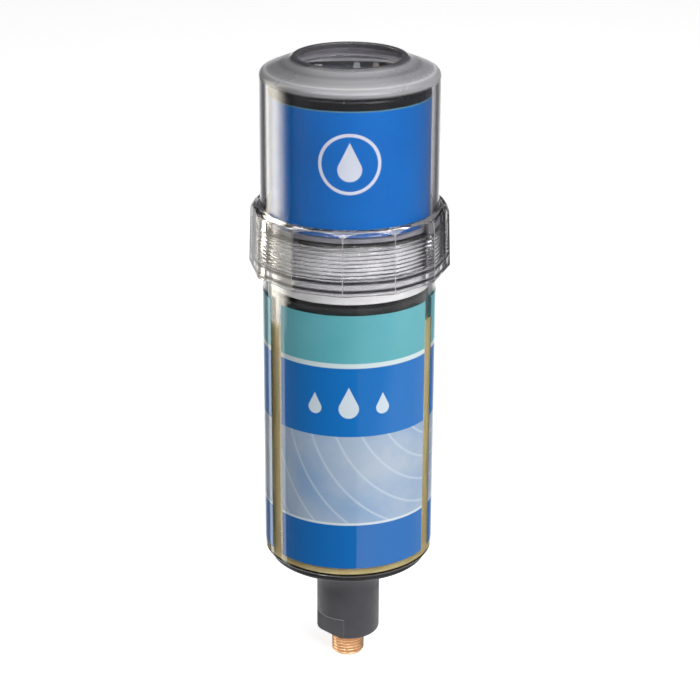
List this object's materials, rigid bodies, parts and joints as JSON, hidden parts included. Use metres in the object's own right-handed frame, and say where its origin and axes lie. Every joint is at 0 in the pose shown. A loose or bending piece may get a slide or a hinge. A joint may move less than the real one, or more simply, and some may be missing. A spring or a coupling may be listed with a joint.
{
  "type": "automatic lubricator",
  "caption": "Battery-driven automatic grease lubricator: clear canister with piston and spindle, threaded outlet, gear drive under a clear cover held by a union nut.",
  "frame": {"origin": "on the canister's axis in the lower face of the neck, where the outlet thread ends", "axes": "+Z along the axis towards the cover; -Y towards the front; +X to the viewer's right"},
  "size_m": [0.0762, 0.0762, 0.247],
  "materials": {
    "brass_outlet": "satin turned metal",
    "black_base": "matte",
    "clear_canister": "clear gloss",
    "label_print": "gloss print",
    "grease": "soft, slightly clear",
    "black_piston": "satin",
    "black_rubber": "matte",
    "grey_plastic": "satin",
    "white_gear": "satin",
    "brass_gear": "machined",
    "steel": "machined",
    "motor_steel": "plated",
    "black_cradle": "satin",
    "contact_metal": "nickel plated",
    "board_green": "solder mask",
    "housing_black": "gloss",
    "drive_print": "gloss print",
    "panel_navy": "satin print",
    "dial_grey": "satin",
    "switch_white": "satin",
    "smoky_cover": "clear, lightly tinted gloss",
    "clear_nut": "clear, lightly tinted gloss",
    "cell_wrap": "printed wrap over a metal can",
    "green_lens": "frosted lens",
    "yellow_lens": "frosted lens",
    "red_lens": "frosted lens"
  },
  "bodies": {
    "canister": {"outlet_nipple": "brass_outlet", "outlet_base": "black_base", "outlet_seal": "black_rubber", "canister": "clear_canister", "front_label": "label_print", "rear_label": "label_print", "grease_fill": "grease"},
    "piston": {"piston": "black_piston", "piston_seal": "black_rubber"},
    "spindle": {"spindle": "grey_plastic"},
    "drive": {"drive_base": "grey_plastic", "drive_seal": "black_rubber", "output_bush": "brass_gear", "gear_axle": "steel", "gear_plate": "black_cradle", "plate_screws": "steel", "gearhead": "motor_steel", "drive_motor": "motor_steel", "battery_cradle": "black_cradle", "lower_contact": "contact_metal", "lower_end_contact": "contact_metal", "upper_contact": "contact_metal", "upper_end_contact": "contact_metal", "circuit_board": "board_green", "board_screws": "steel", "drive_housing": "housing_black", "drive_label": "drive_print", "control_panel": "panel_navy", "battery_cell_1": "cell_wrap", "battery_cell_2": "cell_wrap", "battery_cell_3": "cell_wrap", "green_light": "green_lens", "yellow_light": "yellow_lens", "red_light": "red_lens"},
    "output_gear": {"output_gear": "white_gear"},
    "reduction_gear": {"reduction_gear": "white_gear"},
    "motor_pinion": {"motor_pinion": "brass_gear"},
    "dial": {"time_dial": "dial_grey"},
    "switch": {"volume_switch": "switch_white"},
    "cover": {"cover": "smoky_cover", "cover_gasket": "black_rubber"},
    "nut": {"union_nut": "clear_nut"}
  },
  "joints": [
    {"name": "piston_slide", "type": "slide", "parent": "canister", "child": "piston", "axis": [0, 0, -1], "range_m": [0, 0.0883], "deforming": ["grease_fill"]},
    {"name": "spindle_turn", "type": "hinge", "parent": "canister", "child": "spindle", "pos_m": [0, 0, 0.1], "axis": [0, 0, 1], "range_deg": [0, 10598]},
    {"name": "output_turn", "type": "hinge", "parent": "drive", "child": "output_gear", "pos_m": [0, 0, 0.158], "axis": [0, 0, 1], "range_deg": [0, 10598]},
    {"name": "reduction_turn", "type": "hinge", "parent": "drive", "child": "reduction_gear", "pos_m": [-0.01189, -0.01187, 0.158], "axis": [0, 0, 1], "range_deg": [-26492, 0]},
    {"name": "motor_turn", "type": "hinge", "parent": "drive", "child": "motor_pinion", "pos_m": [0, -0.0135, 0.158], "axis": [0, 0, 1], "range_deg": [0, 61812]},
    {"name": "drive_lift", "type": "slide", "parent": "canister", "child": "drive", "axis": [0, 0, 1], "range_m": [0, 0.04]},
    {"name": "cover_lift", "type": "slide", "parent": "drive", "child": "cover", "axis": [0, 0, 1], "range_m": [0, 0.07]},
    {"name": "nut_turn", "type": "hinge", "parent": "cover", "child": "nut", "pos_m": [0, 0, 0.167], "axis": [0, 0, 1], "range_deg": [0, 1440]},
    {"name": "dial_turn", "type": "hinge", "parent": "drive", "child": "dial", "pos_m": [0, -0.006, 0.226], "axis": [0, 0, 1], "range_deg": [0, 300]},
    {"name": "switch_slide", "type": "slide", "parent": "drive", "child": "switch", "axis": [1, 0, 0], "range_m": [0, 0.004]}
  ],
  "couplings": [
    {"joint": "spindle_turn", "follows": "piston_slide", "rad_per_m": 2094.4},
    {"joint": "output_turn", "follows": "piston_slide", "rad_per_m": 2094.4},
    {"joint": "reduction_turn", "follows": "piston_slide", "rad_per_m": -5236},
    {"joint": "motor_turn", "follows": "piston_slide", "rad_per_m": 12217}
  ]
}
